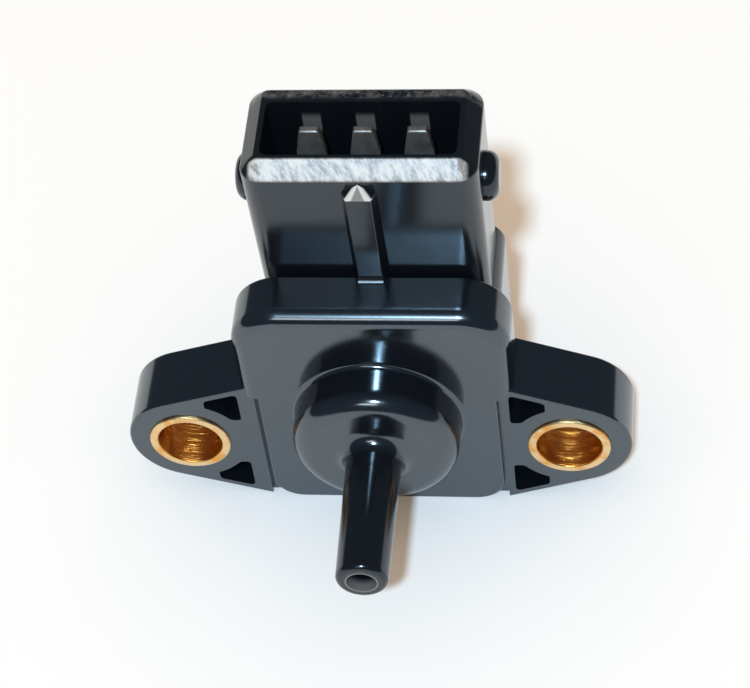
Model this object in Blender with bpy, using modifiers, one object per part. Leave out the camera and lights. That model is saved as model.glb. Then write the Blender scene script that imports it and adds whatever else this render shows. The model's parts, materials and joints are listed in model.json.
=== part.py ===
"""Manifold absolute pressure sensor: moulded housing with a hose nipple, two bolt ears and a blade socket.

X points right, Y points back and Z points up, in metres. The origin lies in the middle of the
underside, on which the sensor stands. The shapes are drawn with the front face in the plane y = 0
and are moved to the origin when they are finished.
"""

import math

import bmesh
import bpy
from mathutils import Matrix, Vector

MM = 0.001

# Clearance between two pieces that touch on the real sensor
SEAT_GAP = 0.3 * MM
# How far a shape runs into or past its neighbour before the two are joined or cut
OVERRUN = 1.0 * MM

# Front plate: the head above the ears and the raised pad between them
HEAD_WIDTH = 27.0 * MM
HEAD_TOP = 28.8 * MM
HEAD_FOOT = 16.4 * MM
HEAD_DEPTH = 5.4 * MM
HEAD_CORNER_RADIUS = 5.0 * MM
HEAD_EDGE_RADIUS = 1.6 * MM
PAD_WIDTH = 23.7 * MM
PAD_CORNER_RADIUS = 3.0 * MM
PAD_EDGE_RADIUS = 0.3 * MM
PAD_STEP = 0.35 * MM

# How far the body behind the plate stands off the port's axis
BODY_SHIFT = 0.3 * MM

# Ears with their bolt holes
HOLE_SPACING = 38.2 * MM
HOLE_PAIR_SHIFT = -0.5 * MM
HOLE_HEIGHT = 8.9 * MM
EAR_THICKNESS = 6.85 * MM
EAR_END_RADIUS = 6.2 * MM
EAR_ROOT_X = 12.9 * MM
EAR_ROOT_HALF = 8.8 * MM
EAR_EDGE_RADIUS = 0.35 * MM
POCKET_DEPTH = 4.6 * MM
POCKET_RING_RADIUS = 5.8 * MM
POCKET_WEB = 7.0 * MM
POCKET_EDGE_WALL = 0.8 * MM
POCKET_ROOT_REACH = 5.7 * MM
POCKET_TIP_REACH = 2.2 * MM
POCKET_CORNER_RADIUS = 0.6 * MM
POCKET_TIP_RADIUS = 0.3 * MM

# Brass bushes
BUSH_DIAMETER = 8.2 * MM
BUSH_BORE = 6.45 * MM
BUSH_PROUD = 0.3 * MM
BUSH_CHAMFER = 0.2 * MM
BUSH_GROOVE_DEPTH = 0.25 * MM
BUSH_GROOVE_WIDTH = 1.0 * MM
BUSH_GROOVE_PITCH = 2.4 * MM

# Pressure port: boss and hose nipple in one turned shape
PORT_HEIGHT = 13.6 * MM
BOSS_DIAMETER = 16.4 * MM
BOSS_LENGTH = 4.8 * MM
BOSS_EDGE_RADIUS = 0.7 * MM
BOSS_ROOT_RADIUS = 0.5 * MM
NIPPLE_LENGTH = 14.65 * MM
NIPPLE_ROOT_DIAMETER = 5.5 * MM
NIPPLE_TIP_DIAMETER = 5.05 * MM
NIPPLE_ROOT_RADIUS = 0.9 * MM
NIPPLE_TIP_RADIUS = 0.6 * MM
PORT_BORE = 2.9 * MM

# Rear box, open at the back
BOX_WIDTH = 23.6 * MM
BOX_CORNER_RADIUS = 2.9 * MM
BOX_EDGE_RADIUS = 0.4 * MM
BOX_WALL = 1.8 * MM
FRONT_WALL = 4.6 * MM
CHAMBER_CORNER_RADIUS = 1.2 * MM

# Rear cover and its seal, in a recess of the box's rim
COVER_THICKNESS = 1.3 * MM
COVER_EDGE_RADIUS = 0.3 * MM
COVER_LEDGE = 0.9 * MM
SEAL_THICKNESS = 0.6 * MM
SEAL_WIDTH = 0.7 * MM

# Plug socket
SHROUD_WIDTH = 22.1 * MM
SHROUD_DEPTH = 11.65 * MM
SHROUD_FRONT = 4.85 * MM
SHROUD_TOP = 44.3 * MM
SHROUD_CORNER_RADIUS = 2.0 * MM
RIM_CHAMFER = 1.5 * MM
RIM_FLAT = 0.45 * MM
SOCKET_DEPTH_Y = 6.65 * MM
SOCKET_CORNER_RADIUS = 0.7 * MM
SOCKET_FLOOR = 31.5 * MM

# Rib on the shroud's front wall
RIB_CREST_WIDTH = 2.4 * MM
RIB_ROOT_WIDTH = 3.3 * MM
RIB_HEIGHT = 1.0 * MM
RIB_SHOULDER = 39.6 * MM
RIB_TIP = 42.5 * MM
RIB_TIP_SINK = 0.02 * MM
RIB_FOOT_RADIUS = 0.7 * MM

# Latch lugs on the shroud's short walls
LUG_DIAMETER = 4.8 * MM
LUG_HEIGHT = 1.4 * MM
LUG_EDGE_RADIUS = 1.2 * MM
LUG_CENTRE_HEIGHT = 37.2 * MM

# Terminals: blade in the socket, neck through the floor, tail through the board
TERMINAL_PITCH = 5.08 * MM
TERMINAL_SET_BACK = 6.55 * MM
BLADE_WIDTH = 2.8 * MM
BLADE_THICKNESS = 0.8 * MM
BLADE_TIP_WIDTH = 1.8 * MM
BLADE_TAPER = 2.8 * MM
BLADE_TIP_DROP = 1.4 * MM
BLADE_TIP_CHAMFER = 0.15 * MM
NECK_DROP = 1.9 * MM
TAIL_WIDTH = 1.0 * MM
TAIL_CLEARANCE = 1.0 * MM
TAIL_BEND_RADIUS = 1.0 * MM
TAIL_PROUD = 1.1 * MM

# Circuit board on four posts of the housing
BOARD_THICKNESS = 1.2 * MM
BOARD_SIDE_CLEARANCE = 0.5 * MM
BOARD_CORNER_RADIUS = 1.0 * MM
POST_DIAMETER = 3.0 * MM
POST_PIN_DIAMETER = 1.2 * MM
POST_PIN_PROUD = 0.5 * MM
POST_INSET = 2.2 * MM

# Pressure element in its moulded case
CASE_SIZE = 10.0 * MM
CASE_DEPTH = 7.2 * MM
CASE_FLOOR = 3.2 * MM
CASE_WALL = 2.0 * MM
CASE_EDGE_RADIUS = 0.4 * MM
SNOUT_DIAMETER = 5.4 * MM
SNOUT_LENGTH = 2.7 * MM
SNOUT_BORE = 1.8 * MM
SEAL_RING_THICKNESS = 1.4 * MM
GLASS_SIZE = 2.8 * MM
GLASS_HEIGHT = 1.2 * MM
GLASS_BORE = 1.0 * MM
DIE_SIZE = 2.4 * MM
DIE_HEIGHT = 0.5 * MM
CAP_SIZE = 1.8 * MM
CAP_HEIGHT = 0.5 * MM
LEAD_PITCH = 2.5 * MM
LEAD_WIDTH = 0.7 * MM
LEAD_THICKNESS = 0.4 * MM
LEAD_REACH = 2.4 * MM

# Parts on the board's rear side, placed from the terminals' tails and the body's middle
CHIP_WIDTH = 5.0 * MM
CHIP_HEIGHT = 4.0 * MM
CHIP_THICKNESS = 1.0 * MM
CHIP_CLEARANCE = 0.4 * MM
CHIP_SIDE = 4.2 * MM
CHIP_DROP = 10.2 * MM
CAPACITOR_WIDTH = 2.0 * MM
CAPACITOR_LENGTH = 1.25 * MM
CAPACITOR_THICKNESS = 0.9 * MM
CAPACITOR_DROP = 3.2 * MM
SPARE_CAPACITOR_DROP = 8.0 * MM
RESISTOR_WIDTH = 1.6 * MM
RESISTOR_LENGTH = 0.8 * MM
RESISTOR_THICKNESS = 0.5 * MM
RESISTOR_SIDE = 3.4 * MM
RESISTOR_DROP = 10.7 * MM
RESISTOR_PITCH = 2.3 * MM
SMALL_PART_BEVEL = 0.1 * MM
SOLDER_HEIGHT = 0.7 * MM
SOLDER_WALL = 0.15 * MM
SOLDER_ROOT_RADIUS = 1.5 * MM

# Facets
ROUND_STEPS = 48
CORNER_STEPS = 6
EDGE_STEPS = 3
SHARP_ANGLE = math.radians(32)

# Places worked out from the sizes above
EAR_FRONT = PAD_STEP
EAR_BACK = EAR_FRONT + EAR_THICKNESS
SOCKET_WIDTH = SHROUD_WIDTH - 2 * (RIM_CHAMFER + RIM_FLAT)
SOCKET_FRONT = SHROUD_FRONT + RIM_CHAMFER + RIM_FLAT
SHROUD_MIDDLE = SHROUD_FRONT + SHROUD_DEPTH / 2
TERMINAL_Y = SHROUD_FRONT + TERMINAL_SET_BACK
TAIL_HEIGHT = PORT_HEIGHT + CASE_SIZE / 2 + TAIL_CLEARANCE
CHAMBER_TOP = TAIL_HEIGHT + TAIL_BEND_RADIUS + NECK_DROP
BOX_TOP = CHAMBER_TOP + BOX_WALL
BOARD_FRONT = TERMINAL_Y + BLADE_THICKNESS / 2 + 2 * SEAT_GAP
BOARD_BACK = BOARD_FRONT + BOARD_THICKNESS
PARTS_FLOOR = BOARD_BACK + SEAT_GAP
CHAMBER_WIDTH = BOX_WIDTH - 2 * BOX_WALL
COVER_FRONT = PARTS_FLOOR + CHIP_THICKNESS + CHIP_CLEARANCE
BOX_BACK = COVER_FRONT + COVER_THICKNESS
SEAL_BACK = COVER_FRONT - SEAT_GAP
SEAL_FRONT = SEAL_BACK - SEAL_THICKNESS
LEDGE_FRONT = SEAL_FRONT - SEAT_GAP
CASE_BACK = BOARD_FRONT - SEAT_GAP
CASE_FRONT = CASE_BACK - CASE_DEPTH
SNOUT_FRONT = CASE_FRONT - SNOUT_LENGTH
SEAL_RING_INNER = SNOUT_DIAMETER / 2 + SEAT_GAP
SEAL_RING_OUTER = SEAL_RING_INNER + SEAL_RING_THICKNESS
UNDERSIDE_MIDDLE = BOX_BACK / 2

SIDES = {"left": -1, "right": 1}
TERMINAL_PLACES = {
    "left": BODY_SHIFT - TERMINAL_PITCH,
    "middle": BODY_SHIFT,
    "right": BODY_SHIFT + TERMINAL_PITCH,
}


def clear_scene():
    for old in list(bpy.data.objects):
        bpy.data.objects.remove(old, do_unlink=True)


def new_collection(name):
    collection = bpy.data.collections.new(name)
    bpy.context.scene.collection.children.link(collection)
    return collection


def make_material(name, color, roughness, metallic):
    material = bpy.data.materials.new(name)
    material.use_nodes = True
    shader = material.node_tree.nodes["Principled BSDF"]
    shader.inputs["Base Color"].default_value = (*color, 1.0)
    shader.inputs["Roughness"].default_value = roughness
    shader.inputs["Metallic"].default_value = metallic
    return material


def finish(piece, color, roughness, metallic=0.0):
    """Apply what is left of the modifiers, shade the round faces smooth and give the piece its material."""
    bake(piece)
    piece.data.shade_smooth()
    piece.data.set_sharp_from_angle(angle=SHARP_ANGLE)
    piece.data.materials.clear()
    piece.data.materials.append(make_material(piece.name, color, roughness, metallic))
    # The shapes above are drawn from the front face, and the part's origin is amid its underside
    piece.data.transform(Matrix.Translation((0, -UNDERSIDE_MIDDLE, 0)))
    cutters.objects.unlink(piece)
    parts.objects.link(piece)
    return piece


def bake(piece):
    """Turn the evaluated shape into the object's own mesh."""
    graph = bpy.context.evaluated_depsgraph_get()
    mesh = bpy.data.meshes.new_from_object(piece.evaluated_get(graph))
    piece.modifiers.clear()
    piece.data = mesh


def object_from_bmesh(name, shape):
    """Make an object of a bmesh, with its faces pointing out."""
    bmesh.ops.recalc_face_normals(shape, faces=shape.faces)
    mesh = bpy.data.meshes.new(name)
    shape.to_mesh(mesh)
    shape.free()
    piece = bpy.data.objects.new(name, mesh)
    cutters.objects.link(piece)
    return piece


def arc(centre, radius, start, end, steps=CORNER_STEPS):
    """Points along an arc in the outline's plane, angles in degrees."""
    points = []
    for step in range(steps + 1):
        angle = math.radians(start + (end - start) * step / steps)
        points.append((centre[0] + radius * math.cos(angle), centre[1] + radius * math.sin(angle)))
    return points


def rounded_rectangle(left, right, bottom, top, bottom_radius, top_radius, steps=CORNER_STEPS):
    """Outline of an upright rectangle with its own radius at the bottom and at the top corners."""
    low, high = bottom_radius, top_radius
    return (
        arc((right - high, top - high), high, 0, 90, steps)
        + arc((left + high, top - high), high, 90, 180, steps)
        + arc((left + low, bottom + low), low, 180, 270, steps)
        + arc((right - low, bottom + low), low, 270, 360, steps)
    )


def flat_outline(name, points, start, end, upright):
    """Extrude a closed outline: along Y from start to end if upright, else along Z."""
    curve = bpy.data.curves.new(name, "CURVE")
    curve.dimensions = "2D"
    curve.fill_mode = "BOTH"
    curve.extrude = (end - start) / 2
    spline = curve.splines.new("POLY")
    spline.points.add(len(points) - 1)
    for point, (across, along) in zip(spline.points, points):
        point.co = (across, along, 0.0, 1.0)
    spline.use_cyclic_u = True
    guide = bpy.data.objects.new(name, curve)
    cutters.objects.link(guide)
    middle = (start + end) / 2
    if upright:
        place = Matrix.Translation((0, middle, 0)) @ Matrix.Rotation(math.radians(90), 4, "X")
    else:
        place = Matrix.Translation((0, 0, middle))
    graph = bpy.context.evaluated_depsgraph_get()
    mesh = bpy.data.meshes.new_from_object(guide.evaluated_get(graph))
    shape = bmesh.new()
    shape.from_mesh(mesh)
    bpy.data.objects.remove(guide, do_unlink=True)
    bpy.data.meshes.remove(mesh)
    bmesh.ops.transform(shape, matrix=place, verts=shape.verts)
    bmesh.ops.remove_doubles(shape, verts=shape.verts, dist=0.001 * MM)
    bmesh.ops.dissolve_limit(shape, angle_limit=0.001, verts=shape.verts, edges=shape.edges)
    return object_from_bmesh(name, shape)


def round_edges(piece, picked, radius, segments=EDGE_STEPS):
    """Round the edges whose two ends pass the test, which is given both end points."""
    shape = bmesh.new()
    shape.from_mesh(piece.data)
    edges = [edge for edge in shape.edges if picked(edge.verts[0].co, edge.verts[1].co)]
    bmesh.ops.bevel(
        shape, geom=edges, offset=radius, segments=segments, profile=0.5, affect="EDGES", clamp_overlap=False
    )
    bmesh.ops.recalc_face_normals(shape, faces=shape.faces)
    shape.to_mesh(piece.data)
    shape.free()
    return piece


def near(value, target):
    return abs(value - target) < 0.01 * MM


def on_plane(axis, place):
    """Test for the edges that lie in a plane square to the axis."""
    return lambda one, other: near(one[axis], place) and near(other[axis], place)


def box(name, low, high, bevel=0.0):
    """A block between two corners, with its edges bevelled if asked."""
    low, high = Vector(low), Vector(high)
    shape = bmesh.new()
    bmesh.ops.create_cube(shape, size=1.0)
    bmesh.ops.scale(shape, vec=high - low, verts=shape.verts)
    bmesh.ops.translate(shape, vec=(low + high) / 2, verts=shape.verts)
    if bevel:
        edges = shape.edges[:]
        bmesh.ops.bevel(
            shape, geom=edges, offset=bevel, segments=1, profile=0.5, affect="EDGES", clamp_overlap=True
        )
    return object_from_bmesh(name, shape)


def round_bar(name, radius, start, end, across, up, steps=ROUND_STEPS):
    """A cylinder along Y."""
    shape = bmesh.new()
    length = end - start
    bmesh.ops.create_cone(shape, cap_ends=True, segments=steps, radius1=radius, radius2=radius, depth=length)
    turn = Matrix.Rotation(math.radians(90), 3, "X")
    bmesh.ops.rotate(shape, cent=(0, 0, 0), matrix=turn, verts=shape.verts)
    bmesh.ops.translate(shape, vec=(across, (start + end) / 2, up), verts=shape.verts)
    return object_from_bmesh(name, shape)


def turned(name, profile, across, up, steps=ROUND_STEPS, closed=False):
    """Turn a profile of (radius, y) points about an axis along Y at (across, up)."""
    mesh = bpy.data.meshes.new(name)
    verts = [(radius, y, 0.0) for radius, y in profile]
    edges = [(index, index + 1) for index in range(len(profile) - 1)]
    if closed:
        edges.append((len(profile) - 1, 0))
    mesh.from_pydata(verts, edges, [])
    piece = bpy.data.objects.new(name, mesh)
    cutters.objects.link(piece)
    screw = piece.modifiers.new("turn", "SCREW")
    screw.axis = "Y"
    screw.angle = math.radians(360)
    screw.steps = steps
    screw.render_steps = steps
    screw.use_merge_vertices = True
    screw.merge_threshold = 0.00001
    bake(piece)
    shape = bmesh.new()
    shape.from_mesh(piece.data)
    bpy.data.objects.remove(piece, do_unlink=True)
    bmesh.ops.remove_doubles(shape, verts=shape.verts, dist=0.001 * MM)
    centres = [vert for vert in shape.verts if math.hypot(vert.co.x, vert.co.z) < 0.001 * MM]
    bmesh.ops.dissolve_verts(shape, verts=centres)
    bmesh.ops.translate(shape, vec=(across, 0, up), verts=shape.verts)
    return object_from_bmesh(name, shape)


def combine(base, other, operation):
    """Join the other shape to the base, or cut it out, and keep it as a hidden cutter."""
    modifier = base.modifiers.new(other.name, "BOOLEAN")
    modifier.operation = operation
    modifier.solver = "EXACT"
    modifier.object = other
    other.hide_render = True
    other.display_type = "WIRE"


def join(base, *others):
    for other in others:
        combine(base, other, "UNION")


def cut(base, *others):
    for other in others:
        combine(base, other, "DIFFERENCE")


def hole_x(side):
    """The bolt hole's place across the sensor."""
    return HOLE_PAIR_SHIFT + side * HOLE_SPACING / 2


def ear_tangent(side):
    """Angle, in degrees from straight up, at which the ear's sloping edges meet its round end."""
    reach = abs(hole_x(side)) - EAR_ROOT_X
    distance = math.hypot(reach, EAR_ROOT_HALF)
    slope = math.atan2(EAR_ROOT_HALF, reach) - math.asin(EAR_END_RADIUS / distance)
    return math.degrees(slope)


def ear_shape(side):
    """One ear: a level root inside the body, sloping edges and a round end about the hole."""
    tangent = ear_tangent(side)
    centre = (abs(hole_x(side)), HOLE_HEIGHT)
    inner = PAD_WIDTH / 2 - 2 * PAD_CORNER_RADIUS
    top, foot = HOLE_HEIGHT + EAR_ROOT_HALF, HOLE_HEIGHT - EAR_ROOT_HALF
    outline = [(inner, top), (inner, foot), (EAR_ROOT_X, foot)]
    outline += arc(centre, EAR_END_RADIUS, tangent - 90, 90 - tangent, 3 * CORNER_STEPS)
    outline += [(EAR_ROOT_X, top)]
    outline = [(side * x, z) for x, z in outline]
    ear = flat_outline("ear", outline, EAR_FRONT, EAR_BACK, upright=True)
    root = EAR_ROOT_X - EAR_EDGE_RADIUS

    def on_outer_edge(one, other):
        level = near(one.y, other.y)
        return level and side * one.x > root and side * other.x > root

    return round_edges(ear, on_outer_edge, EAR_EDGE_RADIUS, 2)


def pocket_shape(side, half):
    """Cutter of one pocket: half is 1 for the pocket above the hole and -1 for the one below."""
    tangent = math.radians(ear_tangent(side))
    centre = abs(hole_x(side))
    floor = POCKET_WEB / 2

    def slope(reach):
        """Height of the sloping side, which runs along the ear's edge, at a reach from the hole's axis."""
        return (EAR_END_RADIUS - POCKET_EDGE_WALL + reach * math.sin(tangent)) / math.cos(tangent)

    # The hollow side runs round the bush from the blunt tip to the floor
    start = 90 + math.degrees(math.asin(POCKET_TIP_REACH / POCKET_RING_RADIUS))
    end = 180 - math.degrees(math.asin(floor / POCKET_RING_RADIUS))
    root = centre - POCKET_ROOT_REACH
    outline = [(root, floor), (root, slope(POCKET_ROOT_REACH))]
    outline += [(centre - POCKET_TIP_REACH, slope(POCKET_TIP_REACH))]
    outline += arc((centre, 0.0), POCKET_RING_RADIUS, start, end)
    outline = [(side * x, HOLE_HEIGHT + half * z) for x, z in outline]
    pocket = flat_outline("pocket", outline, EAR_FRONT - OVERRUN, EAR_FRONT + POCKET_DEPTH, upright=True)

    def at_corner(corners):
        def test(one, other):
            same = near(one.x, other.x) and near(one.z, other.z)
            return same and any(near(one.x, x) and near(one.z, z) for x, z in corners)

        return test

    round_edges(pocket, at_corner([outline[1]]), POCKET_CORNER_RADIUS)
    small = [outline[0], outline[2], outline[3], outline[-1]]
    return round_edges(pocket, at_corner(small), POCKET_TIP_RADIUS, 2)


def port_shape():
    """Boss and nipple, turned as one solid; the bore is cut later."""
    boss = BOSS_DIAMETER / 2
    face = -BOSS_LENGTH
    tip = face - NIPPLE_LENGTH
    root = NIPPLE_ROOT_DIAMETER / 2
    end = NIPPLE_TIP_DIAMETER / 2
    profile = [(0.0, OVERRUN), (boss + BOSS_ROOT_RADIUS, OVERRUN)]
    profile += arc((boss + BOSS_ROOT_RADIUS, -BOSS_ROOT_RADIUS), BOSS_ROOT_RADIUS, 90, 180, EDGE_STEPS)
    profile += arc((boss - BOSS_EDGE_RADIUS, face + BOSS_EDGE_RADIUS), BOSS_EDGE_RADIUS, 0, -90, 4)
    profile += arc((root + NIPPLE_ROOT_RADIUS, face - NIPPLE_ROOT_RADIUS), NIPPLE_ROOT_RADIUS, 90, 180, 4)
    profile += arc((end - NIPPLE_TIP_RADIUS, tip + NIPPLE_TIP_RADIUS), NIPPLE_TIP_RADIUS, 0, -90, 4)
    profile += [(0.0, tip)]
    return turned("port", profile, 0.0, PORT_HEIGHT)


def head_shape():
    """The wide upper part of the front plate, with its front edges rounded."""
    half = HEAD_WIDTH / 2
    corner = HEAD_CORNER_RADIUS
    outline = arc((half - corner, HEAD_TOP - corner), corner, 0, 90, 8)
    outline += arc((corner - half, HEAD_TOP - corner), corner, 90, 180, 8)
    outline += [(-half, HEAD_FOOT), (half, HEAD_FOOT)]
    head = flat_outline("head", outline, 0.0, HEAD_DEPTH, upright=True)

    def on_front_edge(one, other):
        foot = near(one.z, HEAD_FOOT) and near(other.z, HEAD_FOOT)
        return near(one.y, 0.0) and near(other.y, 0.0) and not foot

    return round_edges(head, on_front_edge, HEAD_EDGE_RADIUS, 5)


def pad_shape():
    """The raised face between the ears, with rounded lower corners."""
    half = PAD_WIDTH / 2
    outline = rounded_rectangle(-half, half, 0.0, HEAD_FOOT + 4 * OVERRUN, PAD_CORNER_RADIUS, OVERRUN)
    pad = flat_outline("pad", outline, 0.0, HEAD_DEPTH - OVERRUN / 2, upright=True)
    return round_edges(pad, on_plane(1, 0.0), PAD_EDGE_RADIUS, 2)


def rear_box_shape():
    """The box behind the plate that holds the works."""
    left, right = BODY_SHIFT - BOX_WIDTH / 2, BODY_SHIFT + BOX_WIDTH / 2
    outline = rounded_rectangle(left, right, 0.0, BOX_TOP, BOX_CORNER_RADIUS, BOX_CORNER_RADIUS)
    rear = flat_outline("rear_box", outline, HEAD_DEPTH - OVERRUN, BOX_BACK, upright=True)
    return round_edges(rear, on_plane(1, BOX_BACK), BOX_EDGE_RADIUS, 2)


def shroud_shape():
    """The socket's outer block: round upright edges, and a flat chamfer that runs all round the rim."""
    half_x, half_y = SHROUD_WIDTH / 2, SHROUD_DEPTH / 2
    foot = CHAMBER_TOP - OVERRUN / 2
    rings = []
    shape = bmesh.new()
    for inset, height in ((0.0, foot), (0.0, SHROUD_TOP - RIM_CHAMFER), (RIM_CHAMFER, SHROUD_TOP)):
        corner = SHROUD_CORNER_RADIUS - inset
        x, y = half_x - inset, half_y - inset
        outline = rounded_rectangle(-x, x, -y, y, corner, corner, CORNER_STEPS)
        rings.append([shape.verts.new((BODY_SHIFT + x, SHROUD_MIDDLE + y, height)) for x, y in outline])
    for low, high in zip(rings, rings[1:]):
        for index in range(len(low)):
            after = (index + 1) % len(low)
            shape.faces.new((low[index], low[after], high[after], high[index]))
    shape.faces.new(rings[0])
    shape.faces.new(rings[-1])
    return object_from_bmesh("shroud", shape)


def socket_shape():
    """Cutter of the socket's inside."""
    left, right = BODY_SHIFT - SOCKET_WIDTH / 2, BODY_SHIFT + SOCKET_WIDTH / 2
    corner = SOCKET_CORNER_RADIUS
    back = SOCKET_FRONT + SOCKET_DEPTH_Y
    outline = rounded_rectangle(left, right, SOCKET_FRONT, back, corner, corner, 4)
    return flat_outline("socket", outline, SOCKET_FLOOR, SHROUD_TOP + OVERRUN, upright=False)


def rib_shape():
    """The rib on the shroud: sloping flanks and a hipped upper end that dies into the wall."""
    wall = SHROUD_FRONT
    low = HEAD_TOP - OVERRUN
    shape = bmesh.new()
    bmesh.ops.create_cube(shape, size=1.0)
    crest, root = RIB_CREST_WIDTH / 2, RIB_ROOT_WIDTH / 2
    inside = wall + OVERRUN
    flare = (root - crest) / RIB_HEIGHT
    for vert in shape.verts:
        front = vert.co.y < 0
        y = wall - RIB_HEIGHT if front else inside
        x = crest if front else root + flare * OVERRUN
        vert.co = (BODY_SHIFT + math.copysign(x, vert.co.x), y, RIB_SHOULDER if vert.co.z > 0 else low)
    top = [face for face in shape.faces if all(near(vert.co.z, RIB_SHOULDER) for vert in face.verts)]
    hip = bmesh.ops.extrude_face_region(shape, geom=top)
    bmesh.ops.delete(shape, geom=top, context="FACES_ONLY")
    tip_verts = [item for item in hip["geom"] if isinstance(item, bmesh.types.BMVert)]
    bmesh.ops.pointmerge(shape, verts=tip_verts, merge_co=(BODY_SHIFT, wall + RIB_TIP_SINK, RIB_TIP))
    return object_from_bmesh("rib", shape)


def rib_foot_shape():
    """The hollow fillet where the rib's crest meets the plate's top."""
    crest = SHROUD_FRONT - RIB_HEIGHT
    radius = RIB_FOOT_RADIUS
    curve = arc((crest - radius, HEAD_TOP + radius), radius, 0, -90, EDGE_STEPS)
    curve += [(crest - radius, HEAD_TOP - OVERRUN / 2), (crest + OVERRUN / 2, HEAD_TOP - OVERRUN / 2)]
    curve += [(crest + OVERRUN / 2, HEAD_TOP + radius)]
    shape = bmesh.new()
    ring = [shape.verts.new((BODY_SHIFT - RIB_CREST_WIDTH / 2, y, z)) for y, z in curve]
    face = shape.faces.new(ring)
    side = bmesh.ops.extrude_face_region(shape, geom=[face])
    moved = [item for item in side["geom"] if isinstance(item, bmesh.types.BMVert)]
    bmesh.ops.translate(shape, vec=(RIB_CREST_WIDTH, 0, 0), verts=moved)
    return object_from_bmesh("rib_foot", shape)


def lug_shape(side):
    """One latch lug: a round button with a rounded edge on the shroud's short wall."""
    start = SHROUD_WIDTH / 2 - OVERRUN
    end = SHROUD_WIDTH / 2 + LUG_HEIGHT
    radius = LUG_DIAMETER / 2
    shape = bmesh.new()
    bmesh.ops.create_cone(
        shape, cap_ends=True, segments=32, radius1=radius, radius2=radius, depth=end - start
    )
    outer = [edge for edge in shape.edges if all(vert.co.z > 0 for vert in edge.verts)]
    bmesh.ops.bevel(
        shape, geom=outer, offset=LUG_EDGE_RADIUS, segments=5, profile=0.5, affect="EDGES",
        clamp_overlap=True,
    )
    turn = Matrix.Rotation(math.radians(90 * side), 3, "Y")
    bmesh.ops.rotate(shape, cent=(0, 0, 0), matrix=turn, verts=shape.verts)
    across = BODY_SHIFT + side * (start + end) / 2
    bmesh.ops.translate(shape, vec=(across, SHROUD_MIDDLE, LUG_CENTRE_HEIGHT), verts=shape.verts)
    return object_from_bmesh("lug", shape)


def chamber_shape():
    """Cutter of the box's inside, open at the back."""
    left, right = BODY_SHIFT - CHAMBER_WIDTH / 2, BODY_SHIFT + CHAMBER_WIDTH / 2
    corner = CHAMBER_CORNER_RADIUS
    outline = rounded_rectangle(left, right, BOX_WALL, CHAMBER_TOP, corner, corner, 3)
    return flat_outline("chamber", outline, FRONT_WALL, BOX_BACK + OVERRUN, upright=True)


def recess_outline(inset):
    """Outline of the cover's recess, drawn in by an inset."""
    half = CHAMBER_WIDTH / 2 + COVER_LEDGE - inset
    bottom = BOX_WALL - COVER_LEDGE + inset
    top = CHAMBER_TOP + COVER_LEDGE - inset
    corner = max(CHAMBER_CORNER_RADIUS + COVER_LEDGE - inset, SEAT_GAP)
    return rounded_rectangle(BODY_SHIFT - half, BODY_SHIFT + half, bottom, top, corner, corner, 4)


def post_places():
    """Places across and up of the four board posts."""
    across = CHAMBER_WIDTH / 2 - POST_INSET
    heights = (BOX_WALL + POST_INSET, CHAMBER_TOP - POST_INSET)
    return [(BODY_SHIFT + side * across, up) for side in SIDES.values() for up in heights]


def post_shape(across, up):
    """A post with the pin that passes through the board."""
    post, pin = POST_DIAMETER / 2, POST_PIN_DIAMETER / 2
    shelf = BOARD_FRONT - SEAT_GAP
    end = BOARD_BACK + POST_PIN_PROUD
    profile = [(0.0, FRONT_WALL - OVERRUN), (post, FRONT_WALL - OVERRUN), (post, shelf), (pin, shelf)]
    profile += [(pin, end - pin / 2), (pin / 2, end), (0.0, end)]
    return turned("post", profile, across, up, 16)


def make_housing():
    """The one moulding: plate, ears, boss, nipple, box, socket, rib and lugs."""
    housing = head_shape()
    housing.name = "housing"
    join(housing, pad_shape(), rear_box_shape(), shroud_shape())
    join(housing, *[ear_shape(side) for side in SIDES.values()])
    join(housing, port_shape(), rib_shape(), rib_foot_shape())
    join(housing, *[lug_shape(side) for side in SIDES.values()])
    for side in SIDES.values():
        bush_hole = BUSH_DIAMETER / 2 + SEAT_GAP
        start, end = EAR_FRONT - OVERRUN, EAR_BACK + OVERRUN
        cut(housing, round_bar("bush_hole", bush_hole, start, end, hole_x(side), HOLE_HEIGHT))
        cut(housing, *[pocket_shape(side, half) for half in (1, -1)])
    cut(housing, socket_shape(), chamber_shape())
    cut(housing, flat_outline("recess", recess_outline(0.0), LEDGE_FRONT, BOX_BACK + OVERRUN, upright=True))
    port_end = SNOUT_FRONT - 2 * SEAT_GAP
    tip = -BOSS_LENGTH - NIPPLE_LENGTH
    cut(housing, round_bar("bore", PORT_BORE / 2, tip - OVERRUN, FRONT_WALL, 0.0, PORT_HEIGHT, 32))
    ring_pocket = SEAL_RING_OUTER + SEAT_GAP
    cut(housing, round_bar("ring_pocket", ring_pocket, port_end, FRONT_WALL + OVERRUN, 0.0, PORT_HEIGHT))
    slot_y = BLADE_THICKNESS / 2 + SEAT_GAP
    slot_x = BLADE_WIDTH / 2 + SEAT_GAP
    for x in TERMINAL_PLACES.values():
        low = (x - slot_x, TERMINAL_Y - slot_y, CHAMBER_TOP - OVERRUN)
        high = (x + slot_x, TERMINAL_Y + slot_y, SOCKET_FLOOR + OVERRUN)
        cut(housing, box("slot", low, high))
    join(housing, *[post_shape(across, up) for across, up in post_places()])
    return finish(housing, (0.012, 0.013, 0.014), 0.22)


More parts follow.
